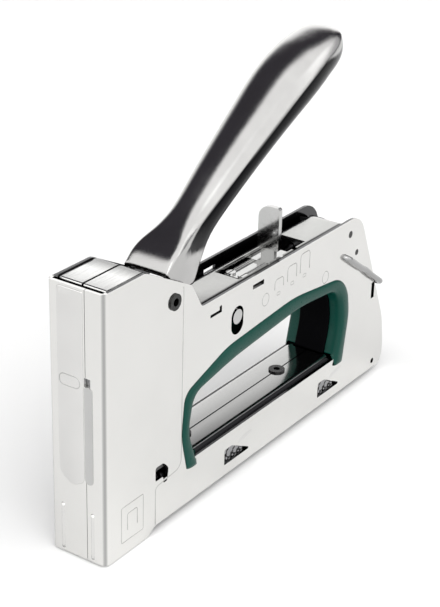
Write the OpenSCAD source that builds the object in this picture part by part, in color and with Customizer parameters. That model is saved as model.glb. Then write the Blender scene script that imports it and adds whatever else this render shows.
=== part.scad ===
// Hand staple gun (hand tacker) with a sprung lever handle.
// The nose is at the front (-X), the handle tip and the magazine catch are at the rear (+X).
// Lengths inside the modules are counted from the front face of the nose; placed() then
// shifts every part so that the origin is the centre of the footprint at the work face.

/* [Body] */
// Length of the casing from nose to rear edge
body_l = 192.5; // [192:0.5:196]
// Width over both casing plates
body_w = 23.5; // [23.5:0.5:26]
// Height of the nose above the work face
nose_h = 104; // [102:0.5:107]
// Thickness of the casing sheet
plate_t = 1.2; // [1:0.1:1.2]

/* [Handle] */
// Distance from the nose to the handle pivot
pivot_x = 38.9; // [38:0.1:40]
// Height of the handle pivot
pivot_z = 87.6; // [87:0.1:88]
// Rise of the open handle above the body line, degrees
open_angle = 27; // [24:1:28]
// Squeeze of the handle from open to closed, degrees
squeeze = 31; // [28:1:31]
// Thickness of the handle sheet
shell_t = 1.4; // [1:0.1:1.6]

/* [Mechanism] */
// Stroke of the driver blade
stroke = 15.5; // [13:0.5:15.5]
// Length of the front arm of the rocker
rocker_front = 54; // [53:0.5:55]
// Length of the rear arm of the rocker
rocker_rear = 14; // [13:0.5:14]
// Travel of the force adjuster to each side
adjust_travel = 9; // [5:1:9]

/* [Lock bail] */
// Diameter of the bail wire
bail_d = 2.5; // [2:0.1:2.6]
// Reach of the bail from its pivot
bail_reach = 37.3; // [36.5:0.1:38]

/* [Magazine] */
// Height of the floor of the finger opening
floor_z = 21.8; // [21.4:0.1:22]
// Width of the staple crown that the magazine takes
crown_w = 10.6; // [10:0.1:10.6]

/* [Hidden] */
$fn = 40;

half_w = body_w / 2;              // outer face of a casing plate
inside = half_w - plate_t;        // inner face of a casing plate
body_z = 79.7;                    // top edge of the casing behind the handle
base_z = 2.6;                     // lower edge of the casing behind the nose
run_gap = 0.06;                   // radial running clearance of a shaft in its hole
frame_t = 1;                      // thickness of the inner frame sheet
frame_out = inside;               // the inner frames lie against the casing plates
frame_in = frame_out - frame_t;

// Mechanism: the handle and the rocker both lift the driver through equal arcs
slot_pin_x = 77.9;
slot_pin_z = 67.3;
rocker_half = asin(stroke / (2 * rocker_front));
rocker_x = slot_pin_x - rocker_rear * cos(rocker_half);
rocker_z = slot_pin_z - rocker_rear * sin(rocker_half);
rocker_tip_x = rocker_x - rocker_front * cos(rocker_half);
rocker_tip_z = rocker_z - rocker_front * sin(rocker_half);
rocker_tip_r = 2.6;
lift_arm = stroke / (2 * sin(squeeze / 2));
lift_x = pivot_x - lift_arm * cos(squeeze / 2);
lift_z = pivot_z - lift_arm * sin(squeeze / 2);
roller_r = 3;
rivet_r = 2.5;
axle_r = 2.5;
pin_r = 2;
bail_r = bail_d / 2;
bail_x = 154.6;
bail_z = 64.6;
bail_y = half_w + bail_r + 0.3;
bail_angle = 35;
blade_x = 2.9;
blade_t = 1.2;
carrier_x = blade_x + blade_t;
carrier_end = 15.5;               // rear face of the hammer block
carrier_foot = 47.8;
carrier_top = 66;
spring_z = slot_pin_z + 3.2;      // the two spring rods run level behind the slot pin
spring_y = 4;
spring_r = 1.7;
channel_z = 77;
flag_x = 116;
rod_z = 10;
rail_z = 15.6;
housing_in = crown_w / 2 + 0.7;
housing_z = floor_z - 2;

// ---- outline helpers -------------------------------------------------------------------

function unit(v) = v / norm(v);

// Arc of radius r in the corner b of the path a, b, c
function corner(a, b, c, r) =
    let (u = unit(a - b), w = unit(c - b),
         half = acos(max(-1, min(1, u * w))) / 2,
         centre = b + unit(u + w) * r / sin(half),
         s = b + u * r / tan(half) - centre,
         e = b + w * r / tan(half) - centre,
         a0 = atan2(s[1], s[0]),
         d = atan2(e[1], e[0]) - a0,
         turn = d > 180 ? d - 360 : d < -180 ? d + 360 : d,
         steps = max(2, ceil(abs(turn) / 12)))
    [for (i = [0:steps]) centre + r * [cos(a0 + turn * i / steps), sin(a0 + turn * i / steps)]];

// Closed outline from corners [x, z, radius]
function outline(p) =
    let (n = len(p), q = [for (c = p) [c[0], c[1]]])
    [for (i = [0:n - 1])
        each (p[i][2] > 0 ? corner(q[(i + n - 1) % n], q[i], q[(i + 1) % n], p[i][2]) : [q[i]])];

// Corners part of the way from outline a to outline b
function between(a, b, t) = [for (i = [0:len(a) - 1]) a[i] + (b[i] - a[i]) * t];

// Smooth curve through [position, value] pairs
function smooth(p, x) =
    let (n = len(p), last = n - 1,
         k = max([for (i = [0:last - 1]) x >= p[i][0] ? i : 0]),
         lo = max(k - 1, 0), hi = min(k + 2, last),
         h = p[k + 1][0] - p[k][0],
         t = max(0, min(1, (x - p[k][0]) / h)),
         m0 = (p[k + 1][1] - p[lo][1]) / (p[k + 1][0] - p[lo][0]) * h,
         m1 = (p[hi][1] - p[k][1]) / (p[hi][0] - p[k][0]) * h)
    (2 * t ^ 3 - 3 * t ^ 2 + 1) * p[k][1] + (t ^ 3 - 2 * t ^ 2 + t) * m0
    + (-2 * t ^ 3 + 3 * t ^ 2) * p[k + 1][1] + (t ^ 3 - t ^ 2) * m1;

// ---- placing helpers -------------------------------------------------------------------

// From the nose frame to the frame of the part
module placed() { translate([-body_l / 2, 0, 0]) children(); }

// A side view (x, z) given thickness from y0 to y1
module side(y0, y1) {
    translate([0, y1, 0]) rotate([90, 0, 0]) linear_extrude(y1 - y0) children();
}

// A cross-section (y, z) carried from x0 to x1
module along(x0, x1) {
    translate([x0, 0, 0]) rotate([90, 0, 90]) linear_extrude(x1 - x0) children();
}

module shaft(x, z, r, y0, y1) { side(y0, y1) translate([x, z]) circle(r); }

module block(x0, x1, y0, y1, z0, z1) {
    translate([x0, y0, z0]) cube([x1 - x0, y1 - y0, z1 - z0]);
}

module both_sides() {
    children();
    mirror([0, 1, 0]) children();
}

// Slot with round ends between two heights
module upright_slot(x, z0, z1, r) {
    translate([x, z0 + r]) circle(r);
    translate([x, z1 - r]) circle(r);
    translate([x - r, z0 + r]) square([2 * r, z1 - z0 - 2 * r]);
}

// Helix of round wire that climbs +Z
module coil(mean_r, wire_r, pitch, turns, steps = 12, sides = 6) {
    n = turns * steps;
    points = [for (i = [0:n], j = [0:sides - 1])
        let (a = 360 * i / steps, f = 360 * j / sides, r = mean_r + wire_r * cos(f))
        [r * cos(a), r * sin(a), pitch * i / steps + wire_r * sin(f)]];
    walls = [for (i = [0:n - 1], j = [0:sides - 1])
        let (a = i * sides + j, b = i * sides + (j + 1) % sides)
        [a, a + sides, b + sides, b]];
    polyhedron(points, concat(walls,
        [[for (j = [0:sides - 1]) j]],
        [[for (j = [sides - 1:-1:0]) n * sides + j]]));
}

// ---- outlines in side view -------------------------------------------------------------

casing_points = [
    [0, 0, 1.4], [0, nose_h, 0.7], [22.5, nose_h, 5], [48.9, 90.3, 2.5], [55.3, body_z, 2.5],
    [166.1, body_z, 11.5], [190.4, 25, 25], [body_l, 12, 20], [body_l, base_z, 4.5],
    [28.5, base_z, 1], [24.5, 0, 1.5]
];
liner_outer = [
    [47.5, 17.2, 2], [44.2, 31, 22], [45.8, 48.6, 6.5], [72, 57.4, 40], [117, 60.6, 70],
    [157.5, 55.8, 15], [160.9, 38, 25], [157.6, 17.2, 2.5]
];
liner_inner = [
    [54.3, 17.2, 2], [47.9, 33, 13], [51.6, 46.8, 7], [80, 50.8, 60], [122, 54.2, 70],
    [151.5, 51.6, 11], [154.4, 35, 25], [149.6, 17.2, 2]
];
plate_opening = between(liner_outer, liner_inner, 0.45);
foot_z = 20;                      // lower edge of the opening in the casing plates

// Outline of the opening, cut off level above the height z
module opening_above(points, z) {
    difference() {
        polygon(outline(points));
        translate([0, z - 40]) square([body_l, 40]);
    }
}

// ---- casing ----------------------------------------------------------------------------

scoops = [72, 139];               // front ends of the two lanced windows
scoop_z = 6.9;

module scoop_window(x) {
    polygon(outline([[x, scoop_z, 0.5], [x, scoop_z + 6.8, 0.8], [x + 5, scoop_z + 6.6, 1],
        [x + 18, scoop_z, 0.5]]));
}

// Window, slots and rivet holes shared by both plates
module plate_cuts() {
    opening_above(plate_opening, foot_z);
    translate([pivot_x, pivot_z]) circle(rivet_r);
    translate([bail_x, bail_z]) circle(bail_r + run_gap);
    upright_slot(slot_pin_x, 60.2, 71.5, 3.9);
    translate([158.4, 73.3]) circle(1.5);
    translate([164.4, 63.6]) circle(1.3);
    translate([184.3, 5.8]) circle(1.2);
    translate([87.6, 74.4]) square([7.4, 1.9]);
    polygon([[60.5, 73.1], [60.5, 74.3], [66.2, 74.3], [66.2, 75.8], [67.6, 75.8], [67.6, 73.1]]);
    translate([179.2, 37.2]) square([2.5, 7.3]);
    polygon(outline([[28.7, 21, 0.6], [28.7, 26.6, 1], [33.4, 26.6, 2.6], [36.5, 23.4, 2.6],
        [35.6, 18.3, 0.5], [33.5, 18.3, 0.5], [33.2, 21, 0.8]]));
    for (x = scoops) scoop_window(x);
}

// One side shell: plate, front flange that reaches the seam, and rear flange
module casing_half(seam) {
    fold = 1.8;
    side(-half_w, -inside) difference() {
        polygon(outline(casing_points));
        translate([-1, -1]) square([fold + 1, nose_h + 2]);
        plate_cuts();
    }
    difference() {
        linear_extrude(nose_h) {
            translate([fold, -half_w + fold]) intersection() {
                difference() { circle(fold); circle(fold - plate_t); }
                translate([-fold, -fold]) square(fold);
            }
            translate([0, -half_w + fold]) square([plate_t, seam + half_w - fold]);
        }
        block(-1, plate_t + 1, -half_w - 1, seam + 1, -1, 0.6);
    }
    rear_flange();
}

// Narrow lip that runs down the rear edge as far as the magazine catch
module rear_flange() {
    side(-inside, -inside + 3.2) intersection() {
        difference() {
            polygon(outline(casing_points));
            translate([-plate_t * 1.1, -plate_t * 0.45]) polygon(outline(casing_points));
        }
        translate([164, 20]) square([40, 52]);
    }
}

// Small hole beside the seam of the front flanges
module seam_hole() { block(-1, 3, -6.1, -3.5, nose_h - 35.3, nose_h - 32); }

module casing_left() {
    color([0.80, 0.80, 0.79]) placed() difference() {
        casing_half(-4.1);
        seam_hole();
    }
}

module casing_right() {
    color([0.76, 0.76, 0.75]) placed() difference() {
        mirror([0, 1, 0]) casing_half(3.9);
        seam_hole();
    }
}

// ---- frames inside the nose ------------------------------------------------------------

module nose_frame(strip_in, strip_out) {
    side(-frame_out, -frame_in) difference() {
        polygon(outline([[4.6, 24, 1], [4.6, nose_h - 5, 1], [24, nose_h - 5, 4],
            [46, 88, 3], [56, 77, 0.5], [56, 73.6, 0.5], [71, 73.6, 2], [71, 61, 2], [46, 61, 3],
            [41, 54, 3], [41, 24, 2]]));
        translate([pivot_x, pivot_z]) circle(rivet_r);
        translate([rocker_x, rocker_z]) circle(axle_r);
    }
    top = nose_h - 0.6;
    side(-strip_out, -strip_in) difference() {
        polygon(outline([[4.6, top - 2, 0.4], [4.6, top, 0.8], [25, top, 5], [31, top - 8, 0.3],
            [29.9, top - 8, 0.3], [24.2, top - 1.2, 4], [6, top - 1.2, 0.3], [6, top - 2, 0.2]]));
    }
    block(8, 22, -frame_out, -frame_in, nose_h - 5.2, top - 1.2);
    block(8, 22, -frame_out, -strip_in - 1, top - 1.4, top - 0.5);
}

module nose_frame_left() { color([0.72, 0.72, 0.70]) placed() nose_frame(0, 9.2); }

module nose_frame_right() {
    color([0.70, 0.70, 0.68]) placed() mirror([0, 1, 0]) nose_frame(0.9, 10.2);
}

// Flat foot that meets the work, with a window for the staple
module nose_foot() {
    color([0.6, 0.6, 0.6]) placed() difference() {
        block(1.5, 24, -inside + 0.05, inside - 0.05, 0, 1.2);
        block(blade_x - 0.4, 18, -6.4, 6.4, -1, 3);
    }
}

module driver_guide() {
    color([0.55, 0.55, 0.55]) placed() block(1.4, 2.5, -9.3, 9.3, 1.4, 72);
}

module bumper_plate() {
    color([0.5, 0.5, 0.5]) placed()
        block(carrier_x + 0.5, 17, -frame_in, frame_in, 38.6, 41);
}

module driver_bumper() {
    color([0.1, 0.1, 0.1]) placed() difference() {
        block(carrier_x + 0.6, 15, -6.5, 6.5, 41, 47.4);
        shaft(9.8, 44.2, 1.2, -7, 7);
    }
}

// ---- top channel and main spring -------------------------------------------------------

// Corners of the channel in cross-section, pulled in by d
function channel_corners(d) = [
    [-9.9 + d, 62 - 2 * d, 0], [-9.9 + d, channel_z - d, 4.2 - d],
    [9.9 - d, channel_z - d, 4.2 - d], [9.9 - d, 62 - 2 * d, 0]];

// Corners of a block that stands inside the channel with a clearance all round
function under_channel(gap, z) = let (d = 1.1 + gap) [
    [-9.9 + d, z, 0.5], [-9.9 + d, channel_z - d, 4.2 - 1.1 + gap],
    [9.9 - d, channel_z - d, 4.2 - 1.1 + gap], [9.9 - d, z, 0.5]];

// Corners of the channel in side view, pulled in by d
function channel_profile(d) = [
    [50.4 + d, 60 - d, 0], [50.4 + d, channel_z - d, 9 - d],
    [165.2 - d, channel_z - d, 9 - d], [165.2 - d, 60 - d, 0]];

module channel_solid(d) {
    intersection() {
        along(40, 180) polygon(outline(channel_corners(d)));
        side(-12, 12) polygon(outline(channel_profile(d)));
    }
}

module spring_channel() {
    window_x = 87.5;
    window_l = 46;
    color([0.78, 0.78, 0.77]) placed() difference() {
        channel_solid(0);
        channel_solid(1.1);
        block(45, 86, -12, 12, 50, 74.2);
        block(148, 180, -12, 12, 50, 70.5);
        block(window_x, window_x + window_l, -5.5, 5.5, 70, 90);
        for (i = [-1:1])
            block(flag_x + i * adjust_travel - 1.3, flag_x + i * adjust_travel + 1.3,
                -6.6, -5, 70, 90);
        shaft(158.4, 73.3, 2.1, -20, 20);
    }
}

module spring_anchor() {
    color([0.45, 0.45, 0.45]) placed() difference() {
        along(139, 150) polygon(outline(under_channel(0.05, 65)));
        for (y = [-spring_y, spring_y])
            translate([130, y, spring_z]) rotate([0, 90, 0]) cylinder(r = spring_r, h = 18);
    }
}

// Two spring rods, each with an eye around the slot pin
module main_spring() {
    color([0.3, 0.3, 0.32]) placed() for (y = [-spring_y, spring_y])
        difference() {
            union() {
                translate([slot_pin_x, y, spring_z]) rotate([0, 90, 0])
                    cylinder(r = spring_r, h = 148 - slot_pin_x);
                shaft(slot_pin_x, slot_pin_z, 4.5, y - 1.5, y + 1.5);
            }
            shaft(slot_pin_x, slot_pin_z, 2.2, y - 3, y + 3);
        }
}

// ---- magazine --------------------------------------------------------------------------

cover_x = [30, 181];
cover_rivet_x = [61, 125.5];
cover_rivet_r = 2;

module magazine_cover() {
    t = 1.2;
    difference() {
        along(cover_x[0], cover_x[1]) difference() {
            polygon(outline([[-0.1, floor_z, 0], [-10.4, floor_z, 2.6], [-10.4, 14.5, 0],
                [-0.1, 14.5, 0]]));
            polygon(outline([[1, floor_z - t, 0], [-10.4 + t, floor_z - t, 1.4],
                [-10.4 + t, 10, 0], [1, 10, 0]]));
        }
        for (x = cover_rivet_x) translate([x, 0, 0]) cylinder(r = cover_rivet_r, h = 40);
        side(-20, 20) polygon(outline([[20, 10, 0], [20, 60, 0], [37.5, 60, 0], [33, 10, 0]]));
    }
}

module magazine_cover_left() { color([0.78, 0.78, 0.76]) placed() magazine_cover(); }

module magazine_cover_right() {
    color([0.74, 0.74, 0.72]) placed() mirror([0, 1, 0]) magazine_cover();
}

module cover_rivets() {
    color([0.2, 0.2, 0.2]) placed() for (x = cover_rivet_x) translate([x, 0, 0])
        difference() {
            union() {
                translate([0, 0, housing_z]) cylinder(r = cover_rivet_r, h = floor_z - housing_z);
                translate([0, 0, floor_z]) cylinder(r = 3.3, h = 0.7);
            }
            translate([0, 0, floor_z - 0.6]) cylinder(r = 1.3, h = 3);
        }
}

// Outer staple channel, open below
module staple_housing() {
    color([0.62, 0.62, 0.62]) placed() difference() {
        block(carrier_x + 0.5, 182, -housing_in - 1.2, housing_in + 1.2, 3.2, housing_z);
        block(0, 190, -housing_in, housing_in, 0, housing_z - 1.2);
    }
}

// Inner rail under the staple legs, slotted along its top for the pusher
module staple_rail() {
    r = crown_w / 2 - 0.8;
    color([0.5, 0.5, 0.52]) placed() {
        difference() {
            block(carrier_x + 0.6, 182, -r, r, 3.4, rail_z);
            block(0, 190, -r + 1, r - 1, 0, rail_z - 1);
            block(0, 176, -0.8, 0.8, 0, 30);
        }
        block(179, 181.5, -housing_in, -r, 3.4, 12);
        block(179, 181.5, r, housing_in, 3.4, 12);
    }
}

module catch_spring() {
    color([0.4, 0.4, 0.42]) placed() side(-3, 3) polygon(outline([
        [160, 20.5, 0], [182.4, 20.5, 0.8], [185, 18.9, 0.8], [188, 20.1, 0], [188, 19.5, 0],
        [185, 18.3, 0.8], [182.4, 19.9, 0.8], [160, 19.9, 0]]));
}

// Rod, finger catch, spring and pusher that draw out to the rear
module guide_rod() {
    color([0.7, 0.7, 0.72]) placed() translate([8, 0, rod_z]) rotate([0, 90, 0])
        cylinder(r = 1.4, h = 178);
}

module rear_catch() {
    color([0.25, 0.25, 0.25]) placed() difference() {
        side(-7.6, 7.6) polygon(outline([[183, 3.2, 0.6], [183, 17.6, 1], [189.6, 17.6, 1.2],
            [191.6, 10, 4], [190.4, 3.2, 0.8]]));
        translate([180, 0, rod_z]) rotate([0, 90, 0]) cylinder(r = 1.4, h = 6);
        for (z = [6, 8.5, 11]) block(190.9, 193, -6, 6, z, z + 0.9);
    }
}

module pusher() {
    r = crown_w / 2;
    color([0.5, 0.45, 0.35]) placed() difference() {
        union() {
            difference() {
                block(5, 18, -r + 0.1, r - 0.1, 4.4, rail_z + 2);
                block(4, 19, -r + 0.5, r - 0.5, 0, rail_z + 0.4);
            }
            block(12, 17, -0.5, 0.5, rod_z, rail_z + 1);
            translate([12, 0, rod_z]) rotate([0, 90, 0]) cylinder(r = 2.9, h = 5);
        }
        translate([4, 0, rod_z]) rotate([0, 90, 0]) cylinder(r = 1.4 + run_gap, h = 20);
    }
}

module pusher_spring() {
    turns = 26;
    color([0.6, 0.6, 0.62]) placed() translate([17.6, 0, rod_z]) rotate([0, 90, 0])
        coil(2.25, 0.35, 164.4 / turns, turns, 8, 5);
}

// ---- finger opening --------------------------------------------------------------------

module finger_liner() {
    lip = 0.9;
    color([0.10, 0.32, 0.28]) placed() {
        side(-inside, inside) difference() {
            opening_above(between(liner_outer, liner_inner, 0.5), floor_z + 0.2);
            polygon(outline(liner_inner));
        }
        both_sides() {
            side(-half_w - lip, -half_w) difference() {
                polygon(outline(liner_outer));
                polygon(outline(liner_inner));
                translate([56, 0]) square([92, 24]);
            }
            side(-half_w, -inside) difference() {
                opening_above(between(liner_outer, liner_inner, 0.5), foot_z);
                polygon(outline(liner_inner));
            }
        }
    }
}

// Soft band in the middle of the liner, where the fingers bear
module liner_insert() {
    color([0.05, 0.05, 0.05]) placed() side(-7, 7) difference() {
        opening_above(liner_inner, floor_z + 0.2);
        polygon(outline(between(liner_outer, liner_inner, 1.16)));
    }
}

// ---- rivets and axles ------------------------------------------------------------------

module rear_spacers() {
    color([0.35, 0.35, 0.35]) placed() {
        shaft(158.4, 73.3, 1.5, -half_w, half_w);
        shaft(158.4, 73.3, 2, -inside, inside);
        shaft(164.4, 63.6, 1.3, -half_w, half_w);
        shaft(164.4, 63.6, 2.4, -inside, inside);
    }
}

module pivot_rivet() {
    head = 0.6;
    color([0.06, 0.06, 0.06]) placed() difference() {
        union() {
            shaft(pivot_x, pivot_z, rivet_r, -half_w, half_w);
            both_sides() shaft(pivot_x, pivot_z, 3.1, -half_w - head, -half_w);
        }
        shaft(pivot_x, pivot_z, 1.5, -20, 20);
    }
}

module rocker_axle() {
    color([0.5, 0.5, 0.5]) placed() shaft(rocker_x, rocker_z, axle_r, -frame_out, frame_out);
}

// ---- handle ----------------------------------------------------------------------------

// The handle is drawn along u, away from the pivot, with v across it, and then tilted
grip_end = 132;
crown_line = [[3, 9.3], [9, 11.3], [20, 11.6], [31, 12.6], [51, 15.9], [75, 19], [95, 21.1],
    [110, 20.3], [121, 18], [128, 15.6], [grip_end, 12.4]];
rim_line = [[3, 4.6], [9, 0], [15, -3.6], [22.6, 0.6], [39, -0.7], [58, 2], [84, 4.4],
    [112, 4.7], [123, 4.9], [129, 6.6], [grip_end, 10.2]];
width_line = [[3, 9.2], [13, 9.1], [22, 7.7], [30, 7.4], [51, 9], [75, 10.6], [100, 12],
    [113, 11.8], [122, 10.8], [128, 8.6], [131, 5.6], [grip_end, 2]];
broad_line = [[3, 6.6], [15, 4.4], [24, 5], [51, 7.7], [75, 9.7], [102, 11.4], [120, 11.4],
    [grip_end, 11.6]];
square_line = [[3, 9], [11, 8], [22, 3.2], [34, 2.3], [grip_end, 2.1]];
curl_line = [[3, 0], [20, 0.2], [39, 1.8], [58, 3.2], [112, 3.2], [125, 2], [grip_end, 0.6]];
half_steps = 8;

// Outer (d = 0) or inner (d = sheet) half-ring of the section at u, rim to rim
function grip_arch(u, d) =
    let (w = smooth(width_line, u), t = min(d, 0.4 * w),
         b = smooth(broad_line, u), c = smooth(crown_line, u), r = smooth(rim_line, u),
         e = 2 / smooth(square_line, u), k = smooth(curl_line, u))
    [for (i = [-half_steps:half_steps])
        let (s = sign(i), f = 90 - 90 * abs(i) / half_steps)
        [s * (w - t) * cos(f) ^ e, b + max(c - t - b, 0.1) * sin(f) ^ e]
    ];

function grip_ring(u, d) =
    let (w = smooth(width_line, u), t = min(d, 0.4 * w), b = smooth(broad_line, u),
         r = smooth(rim_line, u), k = min(smooth(curl_line, u), 0.8 * (w - t)),
         lower = [for (i = [1:4]) let (f = 90 * i / 4)
             [w - t - k + k * cos(f), b - (b - r) * (k > 0.3 ? sin(f) : i / 4)]],
         arch = grip_arch(u, d))
    concat([for (i = [3:-1:0]) [-lower[i][0], lower[i][1]]], arch, lower);

grip_stations = [for (i = [0:8]) 3 + i * 3, for (i = [1:10]) 27 + i * 8,
    for (i = [1:8]) 107 + 25 * sin(90 * i / 8)];

module handle_shell() {
    ring = [for (u = grip_stations)
        let (outer = grip_ring(u, 0), inner = grip_ring(u, shell_t), n = len(outer))
        concat([for (p = outer) [u, p[0], p[1]]],
               [for (i = [n - 1:-1:0]) [u, inner[i][0], inner[i][1]]])];
    m = len(ring[0]);
    last = len(ring) - 1;
    h = m / 2;
    points = [for (r = ring) each r];
    walls = [for (i = [0:last - 1], j = [0:m - 1])
        let (a = i * m + j, b = i * m + (j + 1) % m)
        each [[a, b, b + m], [a, b + m, a + m]]];
    front = [for (j = [0:h - 2]) let (a = j, b = j + 1, c = m - 2 - j, d = m - 1 - j)
        each [[a, d, c], [a, c, b]]];
    back = [for (f = front) [f[0] + last * m, f[2] + last * m, f[1] + last * m]];
    color([0.62, 0.62, 0.60]) placed() translate([pivot_x, 0, pivot_z])
        rotate([0, -open_angle, 0]) polyhedron(points, concat(walls, front, back));
}

// Side view of a straight link whose half-height falls from ra to rb
module link(xa, za, ra, xb, zb, rb) {
    d = unit([xb - xa, zb - za]);
    n = [-d[1], d[0]];
    polygon([[xa, za] + n * ra, [xb, zb] + n * rb, [xb, zb] - n * rb, [xa, za] - n * ra]);
}

module lever_fork() {
    grip_x = pivot_x + 9;
    grip_z = pivot_z + 7.4;
    color([0.4, 0.4, 0.4]) placed() {
        both_sides() side(-7.75, -6.3) difference() {
            union() {
                translate([pivot_x, pivot_z]) circle(6.6);
                translate([lift_x, lift_z]) circle(3);
                link(pivot_x, pivot_z, 5.4, lift_x, lift_z, 2.8);
                link(pivot_x, pivot_z, 5.6, grip_x, grip_z, 4);
            }
            translate([pivot_x, pivot_z]) circle(rivet_r + run_gap);
            translate([lift_x, lift_z]) circle(1.5);
        }
        side(-6.3, 6.3) translate([grip_x - 1.5, grip_z - 0.9]) circle(1.8);
    }
}

module pivot_bush() {
    color([0.7, 0.55, 0.3]) placed() difference() {
        shaft(pivot_x, pivot_z, 3.8, -6.25, 6.25);
        shaft(pivot_x, pivot_z, rivet_r + run_gap, -20, 20);
    }
}

module handle_spring() {
    color([0.55, 0.55, 0.58]) placed() translate([pivot_x, 4.6, pivot_z])
        rotate([90, 0, 0]) coil(4.8, 0.7, 1.8, 5, 14, 6);
}

module lift_roller() {
    color([0.75, 0.75, 0.75]) placed() difference() {
        shaft(lift_x, lift_z, roller_r, -5.8, 5.8);
        shaft(lift_x, lift_z, 1.5 + run_gap, -20, 20);
    }
}

module roller_pin() {
    color([0.5, 0.5, 0.5]) placed() shaft(lift_x, lift_z, 1.5, -7.75, 7.75);
}

// ---- rocker and driver -----------------------------------------------------------------

// The outline is drawn along the line from the tip (0) to the slot pin
module rocker_arm() {
    l = rocker_front;
    e = rocker_front + rocker_rear;
    color([0.45, 0.45, 0.47]) placed() side(-2, 2) difference() {
        translate([rocker_tip_x, rocker_tip_z]) rotate(rocker_half) polygon(outline([
            [-2.6, 2.6, 2.55], [5, 2.5, 2], [8, 1.8, 3], [l - 9, 4.4, 8], [l - 4, 5.6, 3],
            [l + 5, 5.6, 3], [e + 4, 3.9, 3.6], [e + 4, -3.9, 3.6], [l + 5, -5.6, 3],
            [l - 4, -5.6, 3], [l - 9, -4.4, 8], [8, -1.8, 3], [5, -2.5, 2], [-2.6, -2.6, 2.55]]));
        translate([rocker_x, rocker_z]) circle(axle_r + run_gap);
        translate([slot_pin_x, slot_pin_z]) circle(pin_r);
    }
}

module slot_pin() {
    color([0.75, 0.75, 0.75]) placed() {
        shaft(slot_pin_x, slot_pin_z, pin_r, -half_w, half_w);
        both_sides() shaft(slot_pin_x, slot_pin_z, 2.9, -half_w - 0.15, -inside - 0.3);
    }
}

module driver_blade() {
    color([0.85, 0.85, 0.85]) placed()
        block(blade_x, blade_x + blade_t, -5.3, 5.3, 1.6, 82);
}

// Hammer block: a ledge for the handle roller and a pocket for the rocker tip
module driver_carrier() {
    ledge_z = lift_z + roller_r + 0.35;
    gap = 0.3;
    tip_swing = rocker_front * (1 - cos(rocker_half));
    color([0.5, 0.5, 0.55]) placed() difference() {
        union() {
            block(carrier_x, 6.7, -5.8, 5.8, carrier_foot, ledge_z + 2.4);
            block(carrier_x, 17, -5.8, 5.8, ledge_z, ledge_z + 2.4);
            block(carrier_x, carrier_end, -5.8, 5.8, carrier_foot, carrier_top);
        }
        side(-2.6, 2.6) union() {
            translate([rocker_tip_x - tip_swing, rocker_tip_z]) circle(rocker_tip_r + gap);
            translate([rocker_tip_x, rocker_tip_z]) polygon([
                [-tip_swing, -rocker_tip_r - gap], [14, -rocker_tip_r - gap - 2.1],
                [14, rocker_tip_r + gap + 2.1], [-tip_swing, rocker_tip_r + gap]]);
        }
        block(0, 8.4, -1.9, 1.9, 69, 70);
    }
}

module carrier_rivets() {
    color([0.3, 0.3, 0.3]) placed() for (z = [carrier_foot + 2.5, carrier_top - 2.5])
        translate([carrier_end, 0, z]) rotate([0, 90, 0]) cylinder(r = 1.6, h = 0.8);
}

// ---- force adjuster --------------------------------------------------------------------

module adjuster_flag() {
    color([0.85, 0.85, 0.84]) placed() along(flag_x - 1, flag_x + 1)
        polygon(outline([[-4.7, 78.4, 0.4], [-4.7, 96, 1], [4.7, 96, 5], [4.7, 78.4, 0.4],
            [3, 78.4, 0], [3, 72.6, 0], [-3, 72.6, 0], [-3, 78.4, 0]]));
}

// Block that braces the spring rods, with a guide plate seen through the channel's window
module adjuster_saddle() {
    front = flag_x - 24;
    color([0.4, 0.4, 0.4]) placed() difference() {
        union() {
            along(flag_x - 7, flag_x + 7) polygon(outline(under_channel(0.2, 67.5)));
            block(front, flag_x, -5.2, 5.2, 73.8, 74.9);
            for (y = [-2.7, 2.7]) {
                translate([front + 4, y, 74.9]) rotate([0, 90, 0]) cylinder(r = 0.8, h = 17);
                translate([front + 2.2, y, 73.8]) cylinder(r = 1.9, h = 1.8);
            }
        }
        for (y = [-2.7, 2.7])
            block(front, front + 4.4, y - 0.3, y + 0.3, 75.2, 77);
        for (y = [-spring_y, spring_y])
            block(flag_x - 10, flag_x + 10, y - spring_r - 0.4, y + spring_r + 0.4, 60,
                spring_z + spring_r + 0.4);
        block(flag_x - 1, flag_x + 1, -3, 3, 72.6, 80);
    }
}

// ---- lock bail -------------------------------------------------------------------------

// One leg with its turned-in pivot end and half of the cross piece
module bail_half() {
    turn_in = 1.9;
    bend = 3;
    translate([bail_x, 0, bail_z]) rotate([0, bail_angle, 0]) {
        translate([0, -8.6, 0]) rotate([90, 0, 0])
            cylinder(r = bail_r, h = bail_y - turn_in - 8.6);
        translate([turn_in, -bail_y + turn_in, 0]) rotate([0, 0, 180])
            rotate_extrude(angle = 90) translate([turn_in, 0]) circle(bail_r);
        translate([turn_in, -bail_y, 0]) rotate([0, 90, 0])
            cylinder(r = bail_r, h = bail_reach - turn_in - bend);
        translate([bail_reach - bend, -bail_y + bend, 0]) rotate([0, 0, -90])
            rotate_extrude(angle = 90) translate([bend, 0]) circle(bail_r);
        translate([bail_reach, -bail_y + bend, 0]) rotate([-90, 0, 0])
            cylinder(r = bail_r, h = bail_y - bend);
    }
}

module lock_bail() { color([0.7, 0.7, 0.7]) placed() both_sides() bail_half(); }

// ---- parts -----------------------------------------------------------------------------

casing_left();
casing_right();
nose_frame_left();
nose_frame_right();
nose_foot();
driver_guide();
bumper_plate();
driver_bumper();
spring_channel();
spring_anchor();
main_spring();
magazine_cover_left();
magazine_cover_right();
cover_rivets();
staple_housing();
staple_rail();
catch_spring();
rear_spacers();
finger_liner();
liner_insert();
pivot_rivet();
rocker_axle();
handle_spring();
handle_shell();
lever_fork();
pivot_bush();
lift_roller();
roller_pin();
rocker_arm();
slot_pin();
driver_blade();
driver_carrier();
carrier_rivets();
adjuster_flag();
adjuster_saddle();
lock_bail();
guide_rod();
rear_catch();
pusher();
pusher_spring();
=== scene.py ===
"""Builds the looks of a hand staple gun around its packed mechanical frame."""

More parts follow.
